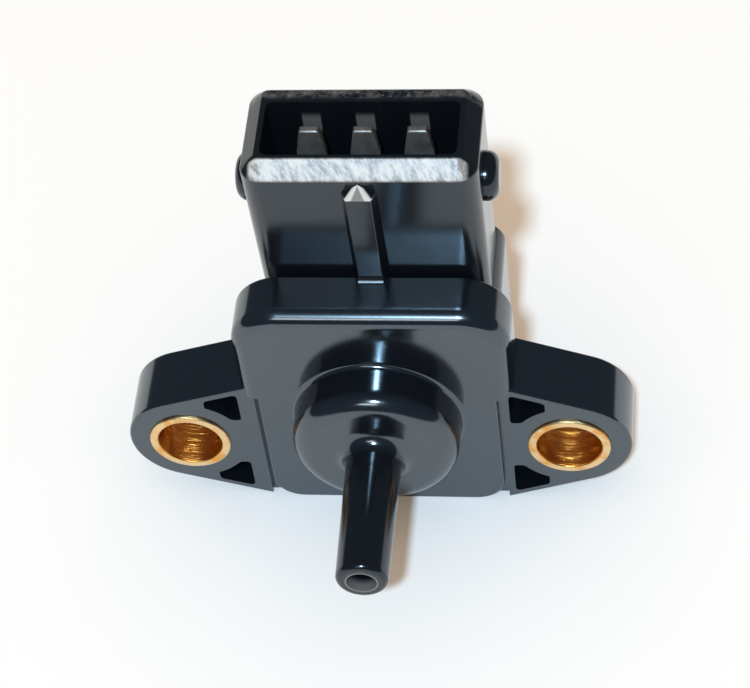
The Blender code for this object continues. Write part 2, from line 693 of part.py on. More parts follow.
def make_bush(name, side):
    """Turned brass sleeve with chamfered ends and two grooves that key it in the ear."""
    outer, bore = BUSH_DIAMETER / 2, BUSH_BORE / 2
    front, back = EAR_FRONT - BUSH_PROUD, EAR_BACK + BUSH_PROUD
    middle = (front + back) / 2
    profile = [(bore, front + BUSH_CHAMFER), (bore + BUSH_CHAMFER, front), (outer - BUSH_CHAMFER, front)]
    profile += [(outer, front + BUSH_CHAMFER)]
    low = outer - BUSH_GROOVE_DEPTH
    for groove in (middle - BUSH_GROOVE_PITCH / 2, middle + BUSH_GROOVE_PITCH / 2):
        near_end, far_end = groove - BUSH_GROOVE_WIDTH / 2, groove + BUSH_GROOVE_WIDTH / 2
        profile += [(outer, near_end), (low, near_end), (low, far_end), (outer, far_end)]
    profile += [(outer, back - BUSH_CHAMFER), (outer - BUSH_CHAMFER, back)]
    profile += [(bore + BUSH_CHAMFER, back), (bore, back - BUSH_CHAMFER)]
    bush = turned(name, profile, hole_x(side), HOLE_HEIGHT, closed=True)
    return finish(bush, (0.78, 0.55, 0.25), 0.25, 1.0)


def strip(name, stations, thickness, chamfer=0.0):
    """A bent strip of sheet, its width along X: stations are (middle point, half width) along the sheet."""
    shape = bmesh.new()
    start, half = stations[0]
    ends = [shape.verts.new(start + Vector((side * half, 0, 0))) for side in (-1, 1)]
    edge = shape.edges.new(ends)
    for middle, half in stations[1:]:
        step = bmesh.ops.extrude_edge_only(shape, edges=[edge])
        edge = [item for item in step["geom"] if isinstance(item, bmesh.types.BMEdge)][0]
        for vert in edge.verts:
            side = math.copysign(1, vert.co.x - start.x)
            vert.co = middle + Vector((side * half, 0, 0))
    bmesh.ops.recalc_face_normals(shape, faces=shape.faces)
    piece = object_from_bmesh(name, shape)
    solid = piece.modifiers.new("sheet", "SOLIDIFY")
    solid.thickness = thickness
    solid.offset = 0.0
    solid.use_even_offset = True
    bake(piece)
    if chamfer:
        round_edges(piece, on_plane(2, start.z), chamfer, 1)
    return piece


def make_terminal(name, x):
    """Blade with a tapered tip, a neck through the floor and a tail that bends back through the board."""
    tip = SHROUD_TOP - BLADE_TIP_DROP
    neck = CHAMBER_TOP + SEAT_GAP
    bend = TAIL_HEIGHT + TAIL_BEND_RADIUS
    wide, narrow, tail = BLADE_WIDTH / 2, BLADE_TIP_WIDTH / 2, TAIL_WIDTH / 2
    path = [(TERMINAL_Y, tip, narrow), (TERMINAL_Y, tip - BLADE_TAPER, wide)]
    path += [(TERMINAL_Y, neck, wide), (TERMINAL_Y, neck - SEAT_GAP, tail)]
    for y, z in arc((TERMINAL_Y + TAIL_BEND_RADIUS, bend), TAIL_BEND_RADIUS, 180, 270, 4):
        path.append((y, z, tail))
    path.append((BOARD_BACK + TAIL_PROUD, TAIL_HEIGHT, tail))
    stations = [(Vector((x, y, z)), half) for y, z, half in path]
    return finish(strip(name, stations, BLADE_THICKNESS, BLADE_TIP_CHAMFER), (0.55, 0.5, 0.42), 0.35, 1.0)


def make_rear_cover():
    """Flat lid in the recess of the box."""
    cover = flat_outline("rear_cover", recess_outline(SEAT_GAP), COVER_FRONT, BOX_BACK, upright=True)
    round_edges(cover, on_plane(1, BOX_BACK), COVER_EDGE_RADIUS, 2)
    return finish(cover, (0.014, 0.014, 0.015), 0.4)


def make_cover_seal():
    """Flat ring between the cover and the ledge."""
    seal = flat_outline("cover_seal", recess_outline(SEAT_GAP), SEAL_FRONT, SEAL_BACK, upright=True)
    inner = recess_outline(SEAT_GAP + SEAL_WIDTH)
    cut(seal, flat_outline("seal_inside", inner, SEAL_FRONT - OVERRUN, SEAL_BACK + OVERRUN, upright=True))
    return finish(seal, (0.05, 0.05, 0.05), 0.8)


def make_circuit_board():
    """Board with holes for the post pins and the terminal tails."""
    half = CHAMBER_WIDTH / 2 - BOARD_SIDE_CLEARANCE
    bottom, top = BOX_WALL + BOARD_SIDE_CLEARANCE, CHAMBER_TOP - BOARD_SIDE_CLEARANCE
    left, right = BODY_SHIFT - half, BODY_SHIFT + half
    outline = rounded_rectangle(left, right, bottom, top, BOARD_CORNER_RADIUS, BOARD_CORNER_RADIUS, 3)
    board = flat_outline("circuit_board", outline, BOARD_FRONT, BOARD_BACK, upright=True)
    start, end = BOARD_FRONT - OVERRUN, BOARD_BACK + OVERRUN
    for across, up in post_places():
        cut(board, round_bar("pin_hole", POST_PIN_DIAMETER / 2 + SEAT_GAP, start, end, across, up, 16))
    half_x = TAIL_WIDTH / 2 + SEAT_GAP
    half_z = BLADE_THICKNESS / 2 + SEAT_GAP
    for x in TERMINAL_PLACES.values():
        low = (x - half_x, start, TAIL_HEIGHT - half_z)
        high = (x + half_x, end, TAIL_HEIGHT + half_z + SEAT_GAP)
        cut(board, box("tail_hole", low, high))
    return finish(board, (0.02, 0.12, 0.05), 0.4)


def make_solder_joint(name, x):
    """Solder cone round a terminal's tail."""
    inner = math.hypot(TAIL_WIDTH, BLADE_THICKNESS) / 2 + SEAT_GAP
    end = PARTS_FLOOR + SOLDER_HEIGHT
    profile = [(inner, PARTS_FLOOR), (inner, end), (inner + SOLDER_WALL, end)]
    profile += [(SOLDER_ROOT_RADIUS, PARTS_FLOOR)]
    return finish(turned(name, profile, x, TAIL_HEIGHT, 24, closed=True), (0.6, 0.6, 0.6), 0.3, 1.0)


def make_sensor_case():
    """Square moulded case with a round snout; its cavity opens towards the board and out of the snout."""
    half = CASE_SIZE / 2
    low = (-half, CASE_FRONT, PORT_HEIGHT - half)
    high = (half, CASE_BACK, PORT_HEIGHT + half)
    case = box("sensor_case", low, high, CASE_EDGE_RADIUS)
    snout = SNOUT_DIAMETER / 2
    join(case, round_bar("snout", snout, SNOUT_FRONT, CASE_FRONT + OVERRUN, 0.0, PORT_HEIGHT, 32))
    inside = half - CASE_WALL
    floor = CASE_FRONT + CASE_FLOOR
    low = (-inside, floor, PORT_HEIGHT - inside)
    high = (inside, CASE_BACK + OVERRUN, PORT_HEIGHT + inside)
    cut(case, box("case_inside", low, high))
    bore_start = SNOUT_FRONT - OVERRUN
    cut(case, round_bar("snout_bore", SNOUT_BORE / 2, bore_start, floor + OVERRUN, 0.0, PORT_HEIGHT, 24))
    return finish(case, (0.03, 0.03, 0.035), 0.5)


def make_port_seal():
    """Ring round the snout, in its pocket in the housing."""
    radius = SEAL_RING_THICKNESS / 2
    middle = (SNOUT_FRONT + CASE_FRONT) / 2
    profile = arc((SEAL_RING_INNER + radius, middle), radius, 0, 330, 11)
    return finish(turned("port_seal", profile, 0.0, PORT_HEIGHT, 32, closed=True), (0.02, 0.02, 0.02), 0.7)


def centred_block(name, size, front, depth, color, roughness, bore=0.0):
    """A square block of the pressure element on the port's axis."""
    half = size / 2
    block = box(name, (-half, front, PORT_HEIGHT - half), (half, front + depth, PORT_HEIGHT + half))
    if bore:
        start, end = front - OVERRUN, front + depth + OVERRUN
        cut(block, round_bar("block_bore", bore / 2, start, end, 0.0, PORT_HEIGHT, 16))
    return finish(block, color, roughness)


def make_pressure_element():
    """Glass base with its bore, the silicon die and the cap that seals the reference vacuum."""
    glass_front = CASE_FRONT + CASE_FLOOR + SEAT_GAP
    die_front = glass_front + GLASS_HEIGHT + SEAT_GAP
    cap_front = die_front + DIE_HEIGHT + SEAT_GAP
    centred_block("glass_base", GLASS_SIZE, glass_front, GLASS_HEIGHT, (0.75, 0.8, 0.8), 0.1, GLASS_BORE)
    centred_block("pressure_die", DIE_SIZE, die_front, DIE_HEIGHT, (0.2, 0.2, 0.24), 0.15)
    centred_block("reference_cap", CAP_SIZE, cap_front, CAP_HEIGHT, (0.7, 0.75, 0.75), 0.1)


def make_case_lead(name, side, up):
    """One leg of the case: out of its side, back to the board and out along it."""
    start_x = CASE_SIZE / 2 + SEAT_GAP
    foot_y = BOARD_FRONT - SEAT_GAP - LEAD_THICKNESS / 2
    start_y = (CASE_FRONT + CASE_BACK) / 2
    bend_x = start_x + LEAD_REACH / 2
    end_x = start_x + LEAD_REACH
    path = [(start_y, start_x), (start_y, bend_x), (foot_y, bend_x), (foot_y, end_x)]
    stations = [(Vector((0.0, y, along)), LEAD_WIDTH / 2) for y, along in path]
    lead = strip(name, stations, LEAD_THICKNESS)
    turn = Matrix.Rotation(math.radians(90 * side), 4, "Y")
    lead.data.transform(Matrix.Translation((0, 0, up)) @ turn)
    return finish(lead, (0.6, 0.6, 0.58), 0.3, 1.0)


def make_board_part(name, side, drop, width, height, thickness, color, roughness):
    """A small part on the board's rear side, at a place from the body's middle and below the tails."""
    x, z = BODY_SHIFT + side, TAIL_HEIGHT - drop
    low = (x - width / 2, PARTS_FLOOR, z - height / 2)
    high = (x + width / 2, PARTS_FLOOR + thickness, z + height / 2)
    return finish(box(name, low, high, SMALL_PART_BEVEL), color, roughness)


def make_chip():
    size = (CHIP_WIDTH, CHIP_HEIGHT, CHIP_THICKNESS)
    make_board_part("signal_chip", -CHIP_SIDE, CHIP_DROP, *size, (0.02, 0.02, 0.02), 0.5)


def make_capacitors():
    """One below each terminal's tail and a spare one above the resistors."""
    size = (CAPACITOR_WIDTH, CAPACITOR_LENGTH, CAPACITOR_THICKNESS)
    places = [(side * TERMINAL_PITCH, CAPACITOR_DROP) for side in (-1, 0, 1)]
    places.append((RESISTOR_SIDE, SPARE_CAPACITOR_DROP))
    for number, place in enumerate(places, 1):
        make_board_part(f"filter_capacitor_{number}", *place, *size, (0.35, 0.25, 0.17), 0.5)


def make_resistors():
    size = (RESISTOR_WIDTH, RESISTOR_LENGTH, RESISTOR_THICKNESS)
    for number in (1, 2):
        drop = RESISTOR_DROP + (number - 1) * RESISTOR_PITCH
        make_board_part(f"trim_resistor_{number}", RESISTOR_SIDE, drop, *size, (0.03, 0.03, 0.03), 0.4)


def main():
    make_housing()
    for side_name, side in SIDES.items():
        make_bush(f"{side_name}_bush", side)
    for place_name, x in TERMINAL_PLACES.items():
        make_terminal(f"terminal_{place_name}", x)
        make_solder_joint(f"solder_joint_{place_name}", x)
    make_rear_cover()
    make_cover_seal()
    make_circuit_board()
    make_sensor_case()
    make_port_seal()
    make_pressure_element()
    lead = 1
    for side in SIDES.values():
        for row in (-1, 0, 1):
            make_case_lead(f"case_lead_{lead}", side, PORT_HEIGHT + row * LEAD_PITCH)
            lead += 1
    make_chip()
    make_capacitors()
    make_resistors()


clear_scene()
parts = new_collection("manifold_pressure_sensor")
cutters = new_collection("cutters")
main()
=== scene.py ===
"""Looks of the manifold absolute pressure sensor: finer pieces, materials, camera, floor and lights."""

import json
import math

import bmesh
import bpy
from mathutils import Matrix, Vector


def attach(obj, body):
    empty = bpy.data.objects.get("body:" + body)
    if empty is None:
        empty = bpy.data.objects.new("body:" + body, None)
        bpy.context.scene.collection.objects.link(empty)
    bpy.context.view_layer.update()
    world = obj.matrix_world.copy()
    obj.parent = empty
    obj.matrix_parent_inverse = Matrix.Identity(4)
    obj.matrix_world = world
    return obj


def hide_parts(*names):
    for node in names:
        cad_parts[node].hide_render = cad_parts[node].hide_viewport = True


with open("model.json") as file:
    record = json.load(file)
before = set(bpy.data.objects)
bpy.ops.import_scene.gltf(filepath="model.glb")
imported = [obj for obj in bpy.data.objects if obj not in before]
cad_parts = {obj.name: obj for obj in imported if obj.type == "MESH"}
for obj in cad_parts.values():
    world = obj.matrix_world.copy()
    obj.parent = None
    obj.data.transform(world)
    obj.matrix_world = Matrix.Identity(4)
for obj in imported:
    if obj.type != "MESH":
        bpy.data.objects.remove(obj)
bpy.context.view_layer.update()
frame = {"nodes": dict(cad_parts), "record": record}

MM = 0.001

# Camera, fitted to the photo: where it stands, where its right and its top point, and its lens

CAMERA_PLACE = Vector((32.02, -161.67, 217.84)) * MM
CAMERA_RIGHT = Vector((0.99199902, 0.0842123, -0.09405442))
CAMERA_UP = Vector((-0.00724376, 0.78175226, 0.62354706))
CAMERA_SENSOR = 36.0
CAMERA_LENS = 125.37
CLIP_START = 0.01
CLIP_END = 20.0


def make_camera():
    data = bpy.data.cameras.new("camera")
    data.sensor_width = CAMERA_SENSOR
    data.lens = CAMERA_LENS
    data.clip_start = CLIP_START
    data.clip_end = CLIP_END
    camera = bpy.data.objects.new("camera", data)
    bpy.context.scene.collection.objects.link(camera)
    back = CAMERA_RIGHT.cross(CAMERA_UP)
    turn = Matrix((CAMERA_RIGHT, CAMERA_UP, back)).transposed().to_4x4()
    camera.matrix_world = Matrix.Translation(CAMERA_PLACE) @ turn
    bpy.context.scene.camera = camera


make_camera()

# Sizes: the solids' own, but for the smallest radii and the forms that the comments below name

# The housing is drawn from its front face, and the part's origin lies this far behind it
ORIGIN_DEPTH = 8.3 * MM
TO_ORIGIN = Matrix.Translation((0, -ORIGIN_DEPTH, 0))
# Middle of the rear box, the shroud and the rib
BODY_SHIFT = 0.3 * MM
# How far a shape runs on into what it joins or cuts
OVERRUN = 1.0 * MM
SIDES = (-1, 1)

HEAD_HALF = 13.5 * MM
HEAD_TOP = 28.8 * MM
HEAD_FOOT = 16.4 * MM
HEAD_DEPTH = 5.4 * MM
HEAD_CORNER_RADIUS = 5.0 * MM
HEAD_EDGE_RADIUS = 1.6 * MM
HEAD_BACK_RADIUS = 0.25 * MM
PAD_HALF = 11.85 * MM
PAD_CORNER_RADIUS = 3.0 * MM
PAD_EDGE_RADIUS = 0.3 * MM

EAR_FRONT = 0.35 * MM
EAR_BACK = 7.2 * MM
EAR_END_RADIUS = 6.2 * MM
EAR_ROOT_START = 6.0 * MM
EAR_ROOT_X = 12.9 * MM
EAR_ROOT_HALF = 8.8 * MM
EAR_EDGE_RADIUS = 0.35 * MM
# A fine groove between the pad and the ears, which the solid leaves out
GROOVE_WIDTH = 0.36 * MM
GROOVE_DEPTH = 0.6 * MM
GROOVE_CLEARANCE = 0.05 * MM
HOLE_SPACING = 38.2 * MM
HOLE_PAIR_SHIFT = -0.5 * MM
HOLE_HEIGHT = 8.9 * MM

BUSH_RADIUS = 4.1 * MM
BUSH_SEAT = 0.02 * MM
BUSH_BORE_RADIUS = 3.225 * MM
BUSH_PROUD = 0.3 * MM
BUSH_EDGE_RADIUS = 0.2 * MM
BUSH_GROOVE_DEPTH = 0.25 * MM
BUSH_GROOVE_HALF = 0.5 * MM
BUSH_GROOVE_OFFSET = 1.2 * MM

POCKET_DEPTH = 4.6 * MM
POCKET_RING_RADIUS = 5.8 * MM
POCKET_HALF_WEB = 3.5 * MM
POCKET_EDGE_WALL = 0.8 * MM
POCKET_ROOT_REACH = 5.7 * MM
POCKET_TIP_REACH = 2.2 * MM
POCKET_CORNER_RADIUS = 0.6 * MM
POCKET_TIP_RADIUS = 0.35 * MM

PORT_HEIGHT = 13.6 * MM
BOSS_RADIUS = 8.2 * MM
BOSS_LENGTH = 4.8 * MM
BOSS_FACE = -BOSS_LENGTH
# The fillet at the boss's root is a hair smaller than the flare that it rounds off
BOSS_FLARE = 0.5 * MM
BOSS_ROOT_RADIUS = 0.499 * MM
# The boss's edge and the nipple's root are rounder than the solid's, as the photo shows them
BOSS_EDGE_RADIUS = 2.0 * MM
NIPPLE_ROOT_RADIUS = 1.5 * MM
NIPPLE_TIP_RADIUS = 0.6 * MM
NIPPLE_LENGTH = 14.65 * MM
NIPPLE_END = BOSS_FACE - NIPPLE_LENGTH
NIPPLE_ROOT = 2.75 * MM
NIPPLE_TIP = 2.525 * MM
PORT_BORE_RADIUS = 1.45 * MM
SEAL_SEAT_RADIUS = 4.7 * MM
SEAL_SEAT_FRONT = 1.6 * MM

BOX_HALF = 11.8 * MM
BOX_TOP = 24.3 * MM
BOX_BACK = 16.6 * MM
BOX_WALL = 1.8 * MM
BOX_CORNER_RADIUS = 2.9 * MM
BOX_EDGE_RADIUS = 0.4 * MM
FRONT_WALL = 4.6 * MM
CHAMBER_HALF = BOX_HALF - BOX_WALL
CHAMBER_TOP = BOX_TOP - BOX_WALL
CHAMBER_CORNER_RADIUS = 1.2 * MM
LEDGE_FRONT = 14.1 * MM
RECESS_GROWTH = 0.9 * MM
RECESS_CORNER_RADIUS = CHAMBER_CORNER_RADIUS + RECESS_GROWTH

SHROUD_HALF = 11.05 * MM
SHROUD_FRONT = 4.85 * MM
SHROUD_BACK = 16.5 * MM
SHROUD_MIDDLE = (SHROUD_FRONT + SHROUD_BACK) / 2
SHROUD_TOP = 44.3 * MM
SHROUD_CORNER_RADIUS = 2.0 * MM
RIM_CHAMFER = 1.5 * MM
RIM_FOOT = SHROUD_TOP - RIM_CHAMFER
RIM_EDGE_RADIUS = 0.16 * MM
SOCKET_HALF = 9.1 * MM
SOCKET_FRONT = 6.8 * MM
SOCKET_BACK = 13.45 * MM
SOCKET_FLOOR = 31.5 * MM
SOCKET_CORNER_RADIUS = 0.7 * MM
# In the photo the front wall and the rib lean back towards their foot; the solid's are upright
SHROUD_LEAN = 0.082
RIB_LEAN = 0.066

RIB_CREST_HALF = 1.2 * MM
RIB_ROOT_HALF = 1.65 * MM
RIB_HEIGHT = 1.0 * MM
# The shoulder sits higher than the solid's, as the photo shows it
RIB_SHOULDER = 41.2 * MM
RIB_TIP = 42.5 * MM
RIB_TIP_SINK = 0.02 * MM
RIB_EDGE_RADIUS = 0.12 * MM
RIB_FOOT_RADIUS = 0.7 * MM

LUG_RADIUS = 2.4 * MM
LUG_HEIGHT = 1.4 * MM
LUG_EDGE_RADIUS = 1.2 * MM
LUG_CENTRE_HEIGHT = 37.2 * MM

TERMINAL_Y = 11.4 * MM
TERMINAL_PITCH = 5.08 * MM
TERMINAL_SLOT_HALF_WIDTH = 1.7 * MM
TERMINAL_SLOT_HALF_DEPTH = 0.7 * MM
BLADE_EDGE_RADIUS = 0.06 * MM

POST_SHELF = TERMINAL_Y + 0.7 * MM
POST_END = POST_SHELF + 2.0 * MM
POST_RADIUS = 1.5 * MM
POST_PIN_RADIUS = 0.6 * MM
POST_PIN_CHAMFER = 0.3 * MM
POST_INSET = 2.2 * MM

# Finest measures of the mesh work

SAME_PLACE = 0.005 * MM
SAME_POINT = 0.001 * MM
FLAT_ANGLE = math.radians(0.5)
CORNER_ANGLE = math.radians(20)
SHARP_ANGLE = math.radians(35)

# Tools that shape a mesh


def near(value, target):
    return abs(value - target) < SAME_PLACE


def block(low, high):
    """A box between two corners."""
    low, high = Vector(low), Vector(high)
    shape = bmesh.new()
    bmesh.ops.create_cube(shape, size=1.0)
    bmesh.ops.scale(shape, vec=high - low, verts=shape.verts)
    bmesh.ops.translate(shape, vec=(low + high) / 2, verts=shape.verts)
    return shape


def bar(radius, start, end, across, up, steps=96):
    """A cylinder along Y."""
    shape = bmesh.new()
    bmesh.ops.create_cone(
        shape, cap_ends=True, segments=steps, radius1=radius, radius2=radius, depth=end - start,
    )
    bmesh.ops.rotate(shape, matrix=Matrix.Rotation(math.radians(90), 3, "X"), verts=shape.verts)
    bmesh.ops.translate(shape, vec=(across, (start + end) / 2, up), verts=shape.verts)
    return shape


def cross_bar(radius, length, middle, side=1, steps=64):
    """A cylinder along X about a middle point."""
    shape = bmesh.new()
    bmesh.ops.create_cone(
        shape, cap_ends=True, segments=steps, radius1=radius, radius2=radius, depth=length,
        matrix=Matrix.Translation(middle) @ Matrix.Rotation(side * math.tau / 4, 4, "Y"),
    )
    return shape


def round_edges(shape, edges, radius, segments=4, clamp=False):
    bmesh.ops.bevel(
        shape, geom=edges, offset=radius, segments=segments, profile=0.5, affect="EDGES",
        material=-1, clamp_overlap=clamp,
    )
    return shape


def soften(shape, picked, radius, segments=4):
    """Round the edges that pass a test on their two end points."""
    edges = [edge for edge in shape.edges if picked(edge.verts[0].co, edge.verts[1].co)]
    return round_edges(shape, edges, radius, segments)


def along(axis, also=None):
    """Test for the edges parallel to an axis, and for what else is asked of their first point."""
    others = [other for other in range(3) if other != axis]

    def test(one, other):
        level = all(near(one[side], other[side]) for side in others)
        return level and (also is None or also(one))

    return test


def on_plane(axis, place, also=None):
    """Test for the edges in a plane, and for what else is asked of their middle."""

    def test(one, other):
        level = near(one[axis], place) and near(other[axis], place)
        return level and (also is None or also((one + other) / 2))

    return test


def fillet(points, steps=8):
    """Round the corners of a line of (radius, y, fillet) points; gives plain (radius, y) points."""
    line = []
    for index, (x, y, size) in enumerate(points):
        corner = Vector((x, y))
        if not size:
            line.append(corner)
            continue
        back = (Vector(points[index - 1][:2]) - corner).normalized()
        ahead = (Vector(points[(index + 1) % len(points)][:2]) - corner).normalized()
        half = back.angle(ahead) / 2
        centre = corner + (back + ahead).normalized() * size / math.sin(half)
        reach = size / math.tan(half)
        first = corner + back * reach - centre
        last = corner + ahead * reach - centre
        turn = last.angle_signed(first)
        for step in range(steps + 1):
            line.append(centre + Matrix.Rotation(turn * step / steps, 2) @ first)
    return line


def turned(points, across, up, steps=96, ring=False):
    """Turn a line of (radius, y, fillet) points, closed for a ring, about an axis along Y."""
    shape = bmesh.new()
    line = [shape.verts.new((x, y, 0)) for x, y in fillet(points)]
    for one, other in zip(line, line[1:] + line[:1] if ring else line[1:]):
        shape.edges.new((one, other))
    bmesh.ops.spin(
        shape, geom=shape.verts[:] + shape.edges[:], cent=(0, 0, 0), axis=(0, 1, 0), angle=math.tau,
        steps=steps, use_merge=True,
    )
    bmesh.ops.remove_doubles(shape, verts=shape.verts, dist=SAME_POINT)
    centres = [vert for vert in shape.verts if math.hypot(vert.co.x, vert.co.z) < SAME_POINT]
    bmesh.ops.dissolve_verts(shape, verts=centres)
    bmesh.ops.translate(shape, vec=(across, 0, up), verts=shape.verts)
    return shape


def piece_from(name, shape):
    """Make an object of a bmesh, with its faces pointing out."""
    bmesh.ops.recalc_face_normals(shape, faces=shape.faces)
    mesh = bpy.data.meshes.new(name)
    shape.to_mesh(mesh)
    shape.free()
    piece = bpy.data.objects.new(name, mesh)
    bpy.context.scene.collection.objects.link(piece)
    return piece


def shape_of(piece):
    """Take an object's mesh back as a bmesh, and drop the object."""
    shape = bmesh.new()
    shape.from_mesh(piece.data)
    bpy.data.objects.remove(piece, do_unlink=True)
    return shape


def bake(piece):
    """Turn the evaluated shape into the object's own mesh."""
    graph = bpy.context.evaluated_depsgraph_get()
    mesh = bpy.data.meshes.new_from_object(piece.evaluated_get(graph))
    piece.modifiers.clear()
    piece.data = mesh


def combine(piece, operation, shape):
    """Join a shape to a piece, or cut it out."""
    tool = piece_from("tool", shape)
    step = piece.modifiers.new("tool", "BOOLEAN")
    step.operation = operation
    step.solver = "EXACT"
    step.object = tool
    bake(piece)
    bpy.data.objects.remove(tool, do_unlink=True)


def polish(piece, slot_name, *nodes):
    """Shade a finished piece, with flat faces kept flat, and let it stand for its nodes."""
    piece.data.shade_smooth()
    piece.data.set_sharp_from_angle(angle=SHARP_ANGLE)
    weighted = piece.modifiers.new("flat faces", "WEIGHTED_NORMAL")
    weighted.keep_sharp = True
    bake(piece)
    piece.data.transform(TO_ORIGIN)
    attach(piece, "root")
    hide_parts(*nodes)
    return piece


# Shapes of the housing


def hole_x(side):
    return HOLE_PAIR_SHIFT + side * HOLE_SPACING / 2


def head_shape():
    """The plate's upper part, with its large corners."""

    def above_foot(middle):
        return not near(middle.z, HEAD_FOOT)

    shape = block((-HEAD_HALF, 0, HEAD_FOOT), (HEAD_HALF, HEAD_DEPTH, HEAD_TOP))
    soften(shape, along(1, lambda point: near(point.z, HEAD_TOP)), HEAD_CORNER_RADIUS, segments=20)
    soften(shape, on_plane(1, 0.0, above_foot), HEAD_EDGE_RADIUS, segments=8)
    soften(shape, on_plane(1, HEAD_DEPTH, above_foot), HEAD_BACK_RADIUS, segments=3)
    return shape


def pad_shape():
    """The plate's lower part, between the ears."""
    high = (PAD_HALF, HEAD_DEPTH - OVERRUN / 2, HEAD_FOOT + 4 * OVERRUN)
    shape = block((-PAD_HALF, 0, 0), high)
    soften(shape, along(1, lambda point: near(point.z, 0.0)), PAD_CORNER_RADIUS, segments=12)
    return soften(shape, on_plane(1, 0.0), PAD_EDGE_RADIUS)


def rear_box_shape():
    low = (BODY_SHIFT - BOX_HALF, HEAD_DEPTH - OVERRUN, 0)
    shape = block(low, (BODY_SHIFT + BOX_HALF, BOX_BACK, BOX_TOP))
    soften(shape, along(1), BOX_CORNER_RADIUS, segments=14)
    return soften(shape, on_plane(1, BOX_BACK), BOX_EDGE_RADIUS)


def lean(shape, slope):
    """Lean the front of a shape back towards its foot, so that a slot opens behind the plate's top."""
    for vert in shape.verts:
        if vert.co.y < SHROUD_MIDDLE and vert.co.z < RIM_FOOT:
            vert.co.y += slope * (RIM_FOOT - vert.co.z)
    return shape


def shroud_shape():
    """The plug socket's outside, with its chamfered rim."""

    def on_rim(one, other):
        return near(one.z, other.z) and (near(one.z, RIM_FOOT) or near(one.z, SHROUD_TOP))

    low = (BODY_SHIFT - SHROUD_HALF, SHROUD_FRONT, CHAMBER_TOP - OVERRUN / 2)
    shape = block(low, (BODY_SHIFT + SHROUD_HALF, SHROUD_BACK, SHROUD_TOP))
    soften(shape, along(2), SHROUD_CORNER_RADIUS, segments=14)
    soften(shape, on_plane(2, SHROUD_TOP), RIM_CHAMFER, segments=1)
    soften(shape, on_rim, RIM_EDGE_RADIUS, segments=3)
    return lean(shape, SHROUD_LEAN)


def ear_shape(side):
    """An ear: a hull over its round end and its level root."""
    shape = bar(EAR_END_RADIUS, EAR_FRONT, EAR_BACK, abs(hole_x(side)), HOLE_HEIGHT, steps=128)
    low = (EAR_ROOT_START, EAR_FRONT, HOLE_HEIGHT - EAR_ROOT_HALF)
    root = block(low, (EAR_ROOT_X, EAR_BACK, HOLE_HEIGHT + EAR_ROOT_HALF))
    mesh = bpy.data.meshes.new("root")
    root.to_mesh(mesh)
    root.free()
    shape.from_mesh(mesh)
    bmesh.ops.delete(shape, geom=shape.edges[:] + shape.faces[:], context="EDGES_FACES")
    hull = bmesh.ops.convex_hull(shape, input=shape.verts)
    inside = set(hull["geom_interior"] + hull["geom_unused"])
    bmesh.ops.delete(shape, geom=list(inside), context="VERTS")
    bmesh.ops.dissolve_limit(shape, angle_limit=FLAT_ANGLE, verts=shape.verts, edges=shape.edges)
    root_line = EAR_ROOT_X - 0.2 * MM
    for plane in (EAR_FRONT, EAR_BACK):
        soften(shape, on_plane(1, plane, lambda middle: middle.x > root_line), EAR_EDGE_RADIUS)
    bmesh.ops.scale(shape, vec=(side, 1, 1), verts=shape.verts)
    return shape


def pocket_block(side):
    """Three-cornered block between the ear's root, its sloping edge and a ring round the hole."""
    reach = abs(hole_x(side)) - EAR_ROOT_X
    away = math.hypot(reach, EAR_ROOT_HALF)
    tangent = math.atan2(EAR_ROOT_HALF, reach) - math.asin(EAR_END_RADIUS / away)
    slope = Vector((-math.sin(tangent), 0, math.cos(tangent)))
    floor = EAR_FRONT + POCKET_DEPTH
    low = (POCKET_TIP_REACH, EAR_FRONT - OVERRUN, POCKET_HALF_WEB)
    shape = block(low, (POCKET_ROOT_REACH, floor, 3 * POCKET_HALF_WEB))
    whole = shape.verts[:] + shape.edges[:] + shape.faces[:]
    edge = slope * (EAR_END_RADIUS - POCKET_EDGE_WALL)
    cut = bmesh.ops.bisect_plane(shape, geom=whole, plane_co=edge, plane_no=slope, clear_outer=True)
    rim = [item for item in cut["geom_cut"] if isinstance(item, bmesh.types.BMEdge)]
    bmesh.ops.edgeloop_fill(shape, edges=rim)
    pocket = piece_from("pocket", shape)
    combine(pocket, "DIFFERENCE", bar(POCKET_RING_RADIUS, -2 * OVERRUN, 2 * floor, 0, 0, steps=128))
    return shape_of(pocket)


def pocket_shape(side, half):
    """Cutter of one pocket: half is 1 for the pocket above the hole and -1 for the one below."""
    shape = pocket_block(side)
    bmesh.ops.dissolve_limit(shape, angle_limit=FLAT_ANGLE, verts=shape.verts, edges=shape.edges)
    upright = [edge for edge in shape.edges if along(1)(edge.verts[0].co, edge.verts[1].co)]
    corners = [edge for edge in upright if edge.calc_face_angle(0) > CORNER_ANGLE]
    high = max(edge.verts[0].co.z for edge in corners)
    wide = [edge for edge in corners if near(edge.verts[0].co.z, high)]
    small = [edge.verts[0].co.xz for edge in corners if edge not in wide]

    def at_small_corner(point):
        return any((point.xz - spot).length < SAME_PLACE for spot in small)

    round_edges(shape, wide, POCKET_CORNER_RADIUS, segments=6)
    soften(shape, along(1, at_small_corner), POCKET_TIP_RADIUS)
    bmesh.ops.scale(shape, vec=(-side, 1, half), verts=shape.verts)
    bmesh.ops.translate(shape, vec=(hole_x(side), 0, HOLE_HEIGHT), verts=shape.verts)
    return shape


